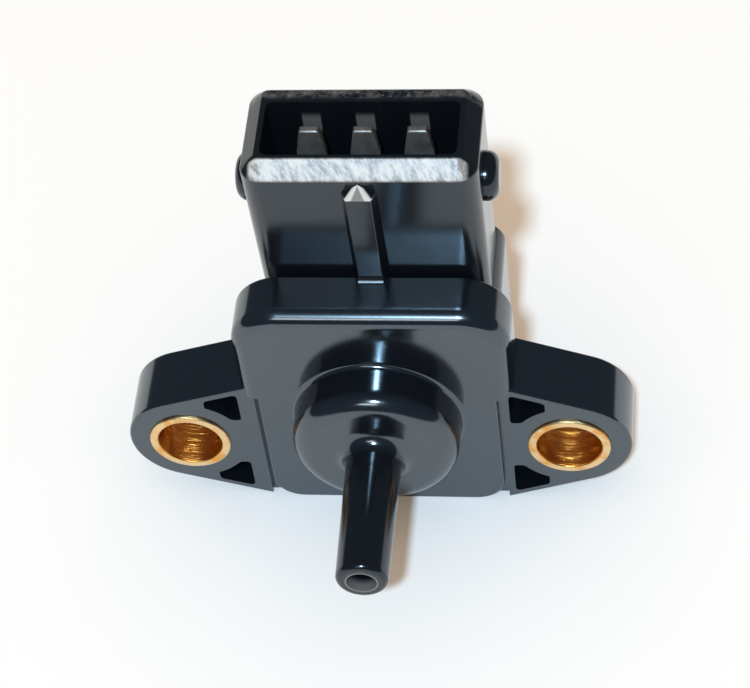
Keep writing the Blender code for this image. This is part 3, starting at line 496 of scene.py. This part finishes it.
def port_shape():
    """Boss and nipple, turned as one solid; the bore is cut later."""
    profile = [
        (0, OVERRUN, 0),
        (BOSS_RADIUS + BOSS_FLARE, OVERRUN, 0),
        (BOSS_RADIUS + BOSS_FLARE, 0, 0),
        (BOSS_RADIUS, 0, BOSS_ROOT_RADIUS),
        (BOSS_RADIUS, BOSS_FACE, BOSS_EDGE_RADIUS),
        (NIPPLE_ROOT, BOSS_FACE, NIPPLE_ROOT_RADIUS),
        (NIPPLE_TIP, NIPPLE_END, NIPPLE_TIP_RADIUS),
        (0, NIPPLE_END, 0),
    ]
    return turned(profile, 0, PORT_HEIGHT, steps=128)


def rib_shape():
    """Rib with sloping flanks and a hipped upper end that dies into the wall."""
    wall = SHROUD_FRONT
    crest = wall - RIB_HEIGHT
    flare = (RIB_ROOT_HALF - RIB_CREST_HALF) / RIB_HEIGHT
    low = (-RIB_CREST_HALF, crest, BOX_TOP - OVERRUN)
    shape = block(low, (RIB_CREST_HALF, wall + OVERRUN, RIB_SHOULDER))
    for vert in shape.verts:
        wide = RIB_CREST_HALF if vert.co.y < wall else RIB_ROOT_HALF + flare * OVERRUN
        vert.co.x = BODY_SHIFT + math.copysign(wide, vert.co.x)
    top = [face for face in shape.faces if all(near(vert.co.z, RIB_SHOULDER) for vert in face.verts)]
    hip = bmesh.ops.extrude_face_region(shape, geom=top)
    bmesh.ops.delete(shape, geom=top, context="FACES_ONLY")
    tip = [item for item in hip["geom"] if isinstance(item, bmesh.types.BMVert)]
    bmesh.ops.pointmerge(shape, verts=tip, merge_co=(BODY_SHIFT, wall + RIB_TIP_SINK, RIB_TIP))

    def on_crest(one, other):
        return near(one.y, crest) or near(other.y, crest)

    soften(shape, on_crest, RIB_EDGE_RADIUS, segments=3)
    return lean(shape, RIB_LEAN)


def rib_foot_shape():
    """The hollow fillet where the rib's crest meets the plate's top."""
    crest = SHROUD_FRONT - RIB_HEIGHT + RIB_LEAN * (RIM_FOOT - HEAD_TOP)
    radius = RIB_FOOT_RADIUS
    low = (BODY_SHIFT - RIB_CREST_HALF, crest - radius, HEAD_TOP - OVERRUN / 2)
    high = (BODY_SHIFT + RIB_CREST_HALF, crest + OVERRUN / 2, HEAD_TOP + radius)
    foot = piece_from("foot", block(low, high))
    middle = (BODY_SHIFT, crest - radius, HEAD_TOP + radius)
    combine(foot, "DIFFERENCE", cross_bar(radius, 4 * RIB_CREST_HALF, middle))
    return shape_of(foot)


def lug_shape(side):
    """A round button with a rounded edge."""
    start, end = SHROUD_HALF - OVERRUN, SHROUD_HALF + LUG_HEIGHT
    middle = (BODY_SHIFT + side * (start + end) / 2, SHROUD_MIDDLE, LUG_CENTRE_HEIGHT)
    shape = cross_bar(LUG_RADIUS, end - start, middle, side, steps=72)
    return soften(shape, on_plane(0, BODY_SHIFT + side * end), LUG_EDGE_RADIUS, segments=8)


def groove_shape():
    """Cutter of the groove between the pad and the ears; the pad then fills its middle."""
    wide = PAD_HALF + GROOVE_WIDTH
    high = (wide, EAR_FRONT + GROOVE_DEPTH, HEAD_FOOT - GROOVE_CLEARANCE)
    return block((-wide, -OVERRUN, -OVERRUN), high)


def socket_shape():
    """Cutter of the plug socket."""
    low = (BODY_SHIFT - SOCKET_HALF, SOCKET_FRONT, SOCKET_FLOOR)
    shape = block(low, (BODY_SHIFT + SOCKET_HALF, SOCKET_BACK, SHROUD_TOP + OVERRUN))
    return soften(shape, along(2), SOCKET_CORNER_RADIUS, segments=6)


def chamber_shape():
    """Cutter of the space inside the rear box."""
    low = (BODY_SHIFT - CHAMBER_HALF, FRONT_WALL, BOX_WALL)
    shape = block(low, (BODY_SHIFT + CHAMBER_HALF, BOX_BACK + OVERRUN, CHAMBER_TOP))
    return soften(shape, along(1), CHAMBER_CORNER_RADIUS, segments=3)


def recess_shape():
    """Cutter of the rear cover's recess."""
    wide = CHAMBER_HALF + RECESS_GROWTH
    low = (BODY_SHIFT - wide, LEDGE_FRONT, BOX_WALL - RECESS_GROWTH)
    shape = block(low, (BODY_SHIFT + wide, BOX_BACK + OVERRUN, CHAMBER_TOP + RECESS_GROWTH))
    return soften(shape, along(1), RECESS_CORNER_RADIUS, segments=8)


def terminal_slot_shape(step):
    """Cutter of the slot through the socket's floor for one terminal."""
    x = BODY_SHIFT + step * TERMINAL_PITCH
    wide, deep = TERMINAL_SLOT_HALF_WIDTH, TERMINAL_SLOT_HALF_DEPTH
    low = (x - wide, TERMINAL_Y - deep, CHAMBER_TOP - OVERRUN)
    return block(low, (x + wide, TERMINAL_Y + deep, SOCKET_FLOOR + OVERRUN))


def post_shape(across, up):
    """A board post with its pin."""
    start = FRONT_WALL - OVERRUN
    profile = [
        (0, start, 0),
        (POST_RADIUS, start, 0),
        (POST_RADIUS, POST_SHELF, 0),
        (POST_PIN_RADIUS, POST_SHELF, 0),
        (POST_PIN_RADIUS, POST_END - POST_PIN_CHAMFER, 0),
        (POST_PIN_RADIUS - POST_PIN_CHAMFER, POST_END, 0),
        (0, POST_END, 0),
    ]
    return turned(profile, across, up, steps=16)


def make_housing():
    """The one moulding: its forms are joined first, then cut, and the posts stand in the chamber."""
    housing = piece_from("housing_finish", head_shape())
    combine(housing, "UNION", rear_box_shape())
    combine(housing, "UNION", shroud_shape())
    for side in SIDES:
        combine(housing, "UNION", ear_shape(side))
        combine(housing, "UNION", lug_shape(side))
    combine(housing, "DIFFERENCE", groove_shape())
    combine(housing, "UNION", pad_shape())
    combine(housing, "UNION", port_shape())
    combine(housing, "UNION", rib_shape())
    combine(housing, "UNION", rib_foot_shape())
    for side in SIDES:
        hole = bar(BUSH_RADIUS + BUSH_SEAT, -OVERRUN, EAR_BACK + OVERRUN, hole_x(side), HOLE_HEIGHT)
        combine(housing, "DIFFERENCE", hole)
        for half in SIDES:
            combine(housing, "DIFFERENCE", pocket_shape(side, half))
    combine(housing, "DIFFERENCE", socket_shape())
    combine(housing, "DIFFERENCE", chamber_shape())
    combine(housing, "DIFFERENCE", recess_shape())
    bore = bar(PORT_BORE_RADIUS, NIPPLE_END - OVERRUN, FRONT_WALL, 0, PORT_HEIGHT, steps=48)
    combine(housing, "DIFFERENCE", bore)
    seal_seat = bar(SEAL_SEAT_RADIUS, SEAL_SEAT_FRONT, FRONT_WALL + OVERRUN, 0, PORT_HEIGHT, steps=64)
    combine(housing, "DIFFERENCE", seal_seat)
    for step in (-1, 0, 1):
        combine(housing, "DIFFERENCE", terminal_slot_shape(step))
    for side in SIDES:
        across = BODY_SHIFT + side * (CHAMBER_HALF - POST_INSET)
        for up in (BOX_WALL + POST_INSET, CHAMBER_TOP - POST_INSET):
            combine(housing, "UNION", post_shape(across, up))
    return polish(housing, "housing", "housing")


# Shader maths


def fill(node, sockets):
    """Give a node's inputs their values, and link those that get a wire."""
    for name, value in sockets.items():
        if isinstance(value, Wire):
            value.tree.links.new(value.socket, node.inputs[name])
        else:
            node.inputs[name].default_value = value


def compute(operation, *values):
    """A Math node over numbers and wires."""
    wire = next(value for value in values if isinstance(value, Wire))
    return wire.node("ShaderNodeMath", dict(enumerate(values)), operation=operation)


class Wire:
    """A shader socket that takes part in sums with numbers and other wires."""

    def __init__(self, tree, socket):
        self.tree = tree
        self.socket = socket

    def node(self, kind, sockets, output=0, **settings):
        """Add any node: first its settings, then the values or wires of its inputs; gives one output."""
        node = self.tree.nodes.new(kind)
        for name, value in settings.items():
            setattr(node, name, value)
        fill(node, sockets)
        return Wire(self.tree, node.outputs[output])

    def __add__(self, other):
        return compute("ADD", self, other)

    def __radd__(self, other):
        return compute("ADD", other, self)

    def __sub__(self, other):
        return compute("SUBTRACT", self, other)

    def __rsub__(self, other):
        return compute("SUBTRACT", other, self)

    def __mul__(self, other):
        return compute("MULTIPLY", self, other)

    def __rmul__(self, other):
        return compute("MULTIPLY", other, self)

    def __abs__(self):
        return compute("ABSOLUTE", self)

    def rise(self, low, high):
        """0 below low, 1 above high, smooth between."""
        sockets = {0: self, 1: low, 2: high}
        return self.node("ShaderNodeMapRange", sockets, interpolation_type="SMOOTHSTEP")

    def fall(self, low, high):
        """1 below low, 0 above high, smooth between."""
        return 1.0 - self.rise(low, high)

    def clip(self):
        return compute("MINIMUM", compute("MAXIMUM", self, 0.0), 1.0)


def new_material(name, color, roughness, metallic=0.0):
    """A Principled material; gives it, its shader and a wire of the object's coordinates."""
    material = bpy.data.materials.new(name)
    material.use_nodes = True
    shader = material.node_tree.nodes["Principled BSDF"]
    fill(shader, {"Base Color": (*color, 1.0), "Roughness": roughness, "Metallic": metallic})
    surface = Wire(material.node_tree, shader.outputs[0])
    return material, shader, surface.node("ShaderNodeTexCoord", {}, "Object")


def noise(place, scale, detail=3.0, rough=0.5, stretch=None):
    """Noise in object space: scale is in waves per metre, and stretch multiplies the coordinates."""
    if stretch:
        place = place.node("ShaderNodeVectorMath", {0: place, 1: stretch}, operation="MULTIPLY")
    sockets = {"Vector": place, "Scale": scale, "Detail": detail, "Roughness": rough}
    return place.node("ShaderNodeTexNoise", sockets)


def mix_color(factor, low, high):
    """A colour between two, by a wire."""
    sockets = {0: factor, 6: (*low, 1.0), 7: (*high, 1.0)}
    return factor.node("ShaderNodeMix", sockets, 2, data_type="RGBA")


def bump(height, distance):
    """A normal from a height, which is in units of the distance."""
    return height.node("ShaderNodeBump", {"Height": height, "Distance": distance})


def split(place, axis):
    """One coordinate of a place."""
    return place.node("ShaderNodeSeparateXYZ", {0: place}, axis)


def from_axis(x, z, across, up):
    """Distance from a line along Y."""
    sideways, upwards = x - across, z - up
    return compute("SQRT", sideways * sideways + upwards * upwards)


# Materials


def rib_tip_highlight_mask(middle, y, z):
    """Painted highlight on the rib's hipped end: a pale triangle whose middle is painted darker than its
    sides.
    """
    slope = RIB_CREST_HALF / (RIB_TIP - RIB_SHOULDER)
    edge = slope * RIB_TIP
    triangle = (middle + slope * z).fall(edge, edge + 0.12 * MM)
    core_slope = 0.54
    core_edge = core_slope * (RIB_TIP - 0.167 * MM)
    core = (middle + core_slope * z).fall(core_edge - 0.11 * MM, core_edge + 0.11 * MM)
    height = z.rise(RIB_SHOULDER - 0.2 * MM, RIB_SHOULDER)
    depth = y.fall(SHROUD_FRONT - 0.1 * MM, SHROUD_FRONT - 0.03 * MM)
    return height * depth * triangle * (1.0 - 0.65 * core)


def blade_reflection_mask(x, y, z):
    """Painted reflections of the blades on the socket's back wall, one stripe behind each blade, fading
    downwards.
    """
    apart = compute("MODULO", x + (1.5 * TERMINAL_PITCH - BODY_SHIFT), TERMINAL_PITCH)
    width = abs(apart - TERMINAL_PITCH / 2).fall(0.8 * MM, 0.95 * MM)
    before = y.rise(SOCKET_BACK - 0.15 * MM, SOCKET_BACK - 0.05 * MM)
    behind = y.fall(SOCKET_BACK + 0.05 * MM, SOCKET_BACK + 0.15 * MM)
    fade = z.rise(SOCKET_FLOOR + 4.5 * MM, SOCKET_FLOOR + 9.5 * MM)
    end = z.fall(RIM_FOOT - 0.8 * MM, RIM_FOOT + 0.2 * MM)
    return width * before * behind * fade * end


def housing_zones(place):
    """Masks of the housing's zones, each 1 in its zone and 0 outside it."""
    x, y, z = (split(place, axis) for axis in range(3))
    y = y + ORIGIN_DEPTH
    middle = abs(x - BODY_SHIFT)
    rim = z.rise(RIM_FOOT - 0.2 * MM, RIM_FOOT + 0.1 * MM)
    chamfer = SHROUD_FRONT + RIM_CHAMFER
    front = rim * y.fall(chamfer - 0.15 * MM, chamfer + 0.15 * MM)
    behind_plate = y.rise(HEAD_DEPTH - 0.1 * MM, HEAD_DEPTH)
    body = behind_plate * middle.fall(BOX_HALF + 0.1 * MM, BOX_HALF + 0.2 * MM)
    walls = (z.rise(HEAD_TOP + 0.1 * MM, HEAD_TOP + 0.4 * MM) + body).clip()
    boss = y.rise(BOSS_FACE + 0.7 * MM, BOSS_FACE + 1.9 * MM)
    mouth = y.fall(NIPPLE_END + 0.55 * MM, NIPPLE_END + 1.55 * MM)
    radius = from_axis(x, z, 0.0, PORT_HEIGHT)
    in_bore = radius.fall(PORT_BORE_RADIUS + 0.1 * MM, PORT_BORE_RADIUS + 0.2 * MM)
    return {
        "rim": rim,
        "rim front": front * middle.fall(SHROUD_HALF - 1.25 * MM, SHROUD_HALF - 0.75 * MM),
        "rim back sheen": rim * y.rise(SOCKET_BACK + 0.25 * MM, SOCKET_BACK + 0.85 * MM),
        # Painted highlight on the rib's end, kept off the rim.
        "rib tip highlight": rib_tip_highlight_mask(middle, y, z) * (1.0 - rim),
        # Painted reflections of the blades on the back wall.
        "blade reflections": blade_reflection_mask(x, y, z),
        "walls": walls,
        "head top": z.rise(HEAD_TOP - 0.8 * MM, HEAD_TOP - 0.2 * MM) * (1.0 - walls),
        "boss side": boss * y.fall(-0.6 * MM, -0.2 * MM),
        "boss face and nipple": y.fall(BOSS_FACE + 0.4 * MM, BOSS_FACE + 0.8 * MM),
        "nipple": y.fall(BOSS_FACE - 0.9 * MM, BOSS_FACE - 0.4 * MM),
        # Painted light inside the nipple's bore, near its mouth.
        "bore mouth light": mouth * in_bore,
    }


def black_plastic():
    """Glossy black moulding: the rim's front is scuffed and carries a painted highlight, its back a
    painted sheen, a few places painted highlights, reflections and light, and walls mirror less.
    """
    material, shader, place = new_material("black_plastic", (0.005, 0.0065, 0.010), 0.12)
    zone = housing_zones(place)
    cloud = noise(place, 160.0, 4.0)
    grain = noise(place, 5000.0, 2.0)
    slant = place.node("ShaderNodeMapping", {"Vector": place, "Rotation": (0.0, 0.6, 0.0)})
    scuff = noise(slant, 1100.0, 5.0, 0.65, stretch=(1.6, 0.6, 0.6)).rise(0.36, 0.60)
    # Painted sheen on the back of the rim: a soft mottle with painted sparkles in it.
    painted_sheen = noise(place, 900.0, 5.0, 0.7).rise(0.36, 0.66)
    painted_sparkle = noise(place, 2600.0, 3.0).rise(0.52, 0.76)
    # The rim's front is painted pale as a painted highlight, broken up by its scuffs; the back of the
    # rim gets a painted sheen with sparkles.
    painted_light_and_scuffs = zone["rim front"] * (0.42 + 0.58 * scuff) + zone["rim back sheen"] * (0.14 * painted_sheen + 0.16 * painted_sparkle)
    # More painted light: a highlight on the rib's end, reflections of the blades on the back wall, and
    # light in the nipple's bore mouth.
    painted_light_and_scuffs = painted_light_and_scuffs + 1.1 * zone["rib tip highlight"] + 0.2 * zone["blade reflections"] + 0.25 * zone["bore mouth light"]
    rough = 0.07 + 0.07 * cloud + 0.04 * grain + zone["rim front"] * (0.12 + 0.16 * scuff)
    rough = rough + 0.04 * zone["boss face and nipple"] + 0.03 * zone["walls"] + 0.09 * zone["head top"]
    rings = noise(place, 4000.0, 3.0, stretch=(0.1, 1.0, 0.1))
    relief = 0.3 * grain + 1.5 * noise(place, 400.0, 2.0) + zone["rim front"] * (3.0 * scuff)
    relief = relief + zone["rim"] * (1.5 * noise(place, 1500.0, 3.0)) + zone["nipple"] * (0.8 * rings)
    skin = {
        # The pale colour is painted light: highlights, sheen, reflections and bore light on the black
        # plastic, with the scuffs on the rim's front.
        "Base Color": mix_color(painted_light_and_scuffs, (0.005, 0.0065, 0.009), (0.56, 0.55, 0.53)),
        "Roughness": rough,
        "Normal": bump(relief, 0.004 * MM),
        "Specular Tint": (0.76, 0.89, 1.0, 1.0),
    }
    fill(shader, {**skin, "IOR": 2.08})
    shiny = Wire(place.tree, shader.outputs[0])
    calm = place.node("ShaderNodeBsdfPrincipled", {**skin, "IOR": 1.62})
    calm_zone = (zone["walls"] + zone["boss side"] + zone["nipple"]).clip()
    mixed = place.node("ShaderNodeMixShader", {0: calm_zone, 1: shiny, 2: calm})
    fill(place.tree.nodes["Material Output"], {"Surface": mixed})
    return material


def brass():
    """Turned brass, with fine rings round the hole and a redder, smoother bore."""
    material, shader, place = new_material("brass", (0.83, 0.56, 0.26), 0.22, 1.0)
    across = abs(split(place, 0) - HOLE_PAIR_SHIFT)
    radius = from_axis(across, split(place, 2), HOLE_SPACING / 2, HOLE_HEIGHT)
    bore = radius.fall(BUSH_BORE_RADIUS + 0.075 * MM, BUSH_BORE_RADIUS + 0.175 * MM)
    stain = noise(place, 700.0, 4.0)
    red = (stain.rise(0.42, 0.72) + bore).clip()
    rings = noise(place, 20000.0, 1.0, stretch=(0.0005, 1.0, 0.0005))
    fill(shader, {
        "Base Color": mix_color(red, (0.86, 0.62, 0.33), (0.80, 0.36, 0.07)),
        "Roughness": 0.2 + 0.2 * stain - 0.08 * bore,
        "Normal": bump(rings, 0.06 * MM),
    })
    return material


def dull_tin():
    """Stained tin on the blades, drawn fine along their length."""
    material, shader, place = new_material("dull_tin", (0.33, 0.31, 0.29), 0.38, 0.6)
    stain = noise(place, 900.0, 4.0)
    drawn = noise(place, 5000.0, 2.0, stretch=(3.0, 3.0, 0.2))
    fill(shader, {
        "Base Color": mix_color(stain.rise(0.35, 0.75), (0.24, 0.23, 0.215), (0.15, 0.14, 0.125)),
        "Roughness": 0.3 + 0.25 * stain,
        "Normal": bump(drawn, 0.006 * MM),
    })
    return material


def plain(name, dark, light, roughness, grain_scale, metallic=0.0):
    """Material of a piece inside the housing: mottled colour, uneven gloss and a fine grain."""
    material, shader, place = new_material(name, dark, roughness, metallic)
    cloud = noise(place, 900.0, 3.0)
    fill(shader, {
        "Base Color": mix_color(cloud.rise(0.3, 0.7), dark, light),
        "Roughness": (roughness - 0.08) + 0.16 * cloud,
        "Normal": bump(noise(place, grain_scale, 2.0), 0.008 * MM),
    })
    return material


def dress(piece, material):
    piece.data.materials.clear()
    piece.data.materials.append(material)


tinned = plain("tinned_lead", (0.55, 0.55, 0.53), (0.68, 0.68, 0.66), 0.3, 4000.0, 1.0)
LOOKS = {
    "housing": black_plastic(),
    "bush": brass(),
    "terminal": dull_tin(),
    "cover": plain("cover_plastic", (0.014, 0.014, 0.016), (0.022, 0.022, 0.024), 0.42, 5000.0),
    "seal": plain("seal_rubber", (0.02, 0.02, 0.02), (0.032, 0.032, 0.032), 0.75, 3000.0),
    "board": plain("board_green", (0.02, 0.12, 0.05), (0.03, 0.17, 0.07), 0.35, 2500.0),
    "case": plain("case_compound", (0.025, 0.025, 0.03), (0.04, 0.04, 0.045), 0.5, 4000.0),
    "glass": plain("sealing_glass", (0.7, 0.74, 0.74), (0.8, 0.83, 0.83), 0.15, 2000.0),
    "silicon": plain("silicon", (0.18, 0.18, 0.22), (0.26, 0.26, 0.3), 0.15, 2000.0),
    "lead": tinned,
    "chip": plain("chip_compound", (0.02, 0.02, 0.02), (0.035, 0.035, 0.035), 0.5, 5000.0),
    "capacitor": plain("capacitor_ceramic", (0.34, 0.24, 0.16), (0.42, 0.31, 0.21), 0.45, 3000.0),
    "resistor": plain("resistor_film", (0.03, 0.03, 0.03), (0.07, 0.07, 0.07), 0.4, 3000.0),
    "solder": tinned,
}

# Finer pieces beside the housing


def bush_shape(side):
    """Turned sleeve with rounded ends and two grooves that key it in the ear."""
    low, high = EAR_FRONT - BUSH_PROUD, EAR_BACK + BUSH_PROUD
    middle = (low + high) / 2
    floor = BUSH_RADIUS - BUSH_GROOVE_DEPTH
    points = [(BUSH_BORE_RADIUS, low, BUSH_EDGE_RADIUS), (BUSH_RADIUS, low, BUSH_EDGE_RADIUS)]
    for groove in (middle - BUSH_GROOVE_OFFSET, middle + BUSH_GROOVE_OFFSET):
        start, end = groove - BUSH_GROOVE_HALF, groove + BUSH_GROOVE_HALF
        points += [(BUSH_RADIUS, start, 0), (floor, start, 0), (floor, end, 0), (BUSH_RADIUS, end, 0)]
    points += [(BUSH_RADIUS, high, BUSH_EDGE_RADIUS), (BUSH_BORE_RADIUS, high, BUSH_EDGE_RADIUS)]
    return turned(points, hole_x(side), HOLE_HEIGHT, ring=True)


def terminal_piece(node):
    """The solid's own blade with softened edges."""
    flat, sharp = math.radians(1), math.radians(40)
    shape = bmesh.new()
    shape.from_mesh(frame["nodes"][node].data)
    bmesh.ops.remove_doubles(shape, verts=shape.verts, dist=SAME_POINT)
    bmesh.ops.dissolve_limit(shape, angle_limit=flat, verts=shape.verts, edges=shape.edges)
    edges = [edge for edge in shape.edges if edge.calc_face_angle(0) > sharp]
    round_edges(shape, edges, BLADE_EDGE_RADIUS, segments=2, clamp=True)
    bmesh.ops.transform(shape, matrix=TO_ORIGIN.inverted(), verts=shape.verts)
    return piece_from(node + "_finish", shape)


dress(make_housing(), LOOKS["housing"])
for name, side in zip(("left", "right"), SIDES):
    bush = piece_from(f"{name}_bush_finish", bush_shape(side))
    dress(polish(bush, "bush", f"{name}_bush"), LOOKS["bush"])
for node in ("terminal_left", "terminal_middle", "terminal_right"):
    dress(polish(terminal_piece(node), "terminal", node), LOOKS["terminal"])
for part in frame["record"]["subparts"]:
    dress(frame["nodes"][part["node"]], LOOKS[part["material_slot"]])

# Floor, world and lights

FLOOR_HALF = 3.0
FLOOR_COLOR = (0.9, 0.9, 0.9)
WARM_LIGHT = (0.715, 0.555, 0.415)
DARK_ROOM = (0.07, 0.09, 0.11)
LIT_PLACE = Vector((0.0, 0.0, 20 * MM))


def make_floor():
    mesh = bpy.data.meshes.new("floor")
    shape = bmesh.new()
    bmesh.ops.create_grid(shape, x_segments=1, y_segments=1, size=FLOOR_HALF)
    shape.to_mesh(mesh)
    shape.free()
    floor = bpy.data.objects.new("floor", mesh)
    bpy.context.scene.collection.objects.link(floor)
    material, shader, _ = new_material("floor_white", FLOOR_COLOR, 0.9)
    fill(shader, {"Specular IOR Level": 0.1})
    mesh.materials.append(material)


def make_world():
    """Warm light from all round, while shiny faces mirror a dark room."""
    world = bpy.data.worlds.new("studio")
    bpy.context.scene.world = world
    world.use_nodes = True
    nodes = world.node_tree.nodes
    fill(nodes["Background"], {"Color": (*WARM_LIGHT, 1.0)})
    warm = Wire(world.node_tree, nodes["Background"].outputs[0])
    dark = warm.node("ShaderNodeBackground", {"Color": (*DARK_ROOM, 1.0)})
    glossy = warm.node("ShaderNodeLightPath", {}, "Is Glossy Ray")
    mixed = warm.node("ShaderNodeMixShader", {0: glossy, 1: warm, 2: dark})
    fill(nodes["World Output"], {"Surface": mixed})


def make_light(name, way, distance, size, power, color, mirrors_only=False):
    """An oval lamp that looks at the sensor from a direction, or one that only shows in shiny faces."""
    data = bpy.data.lights.new(name, "AREA")
    data.shape = "ELLIPSE"
    data.size, data.size_y = size
    data.energy = power
    data.color = color
    light = bpy.data.objects.new(name, data)
    light.visible_diffuse = not mirrors_only
    bpy.context.scene.collection.objects.link(light)
    way = Vector(way).normalized()
    turn = way.to_track_quat("Z", "Y").to_matrix().to_4x4()
    light.matrix_world = Matrix.Translation(LIT_PLACE + way * distance) @ turn


make_floor()
make_world()
make_light(
    "flash", way=(0.01, -0.59, 0.8), distance=2.2, size=(0.14, 0.14), power=68.0,
    color=(0.37, 0.505, 0.61),
)
make_light(
    "panel", way=(-0.135, -0.79, 0.61), distance=0.8, size=(0.28, 0.11), power=0.45,
    color=(1.08, 1.03, 1.0), mirrors_only=True,
)

bpy.context.scene.view_settings.view_transform = "Standard"
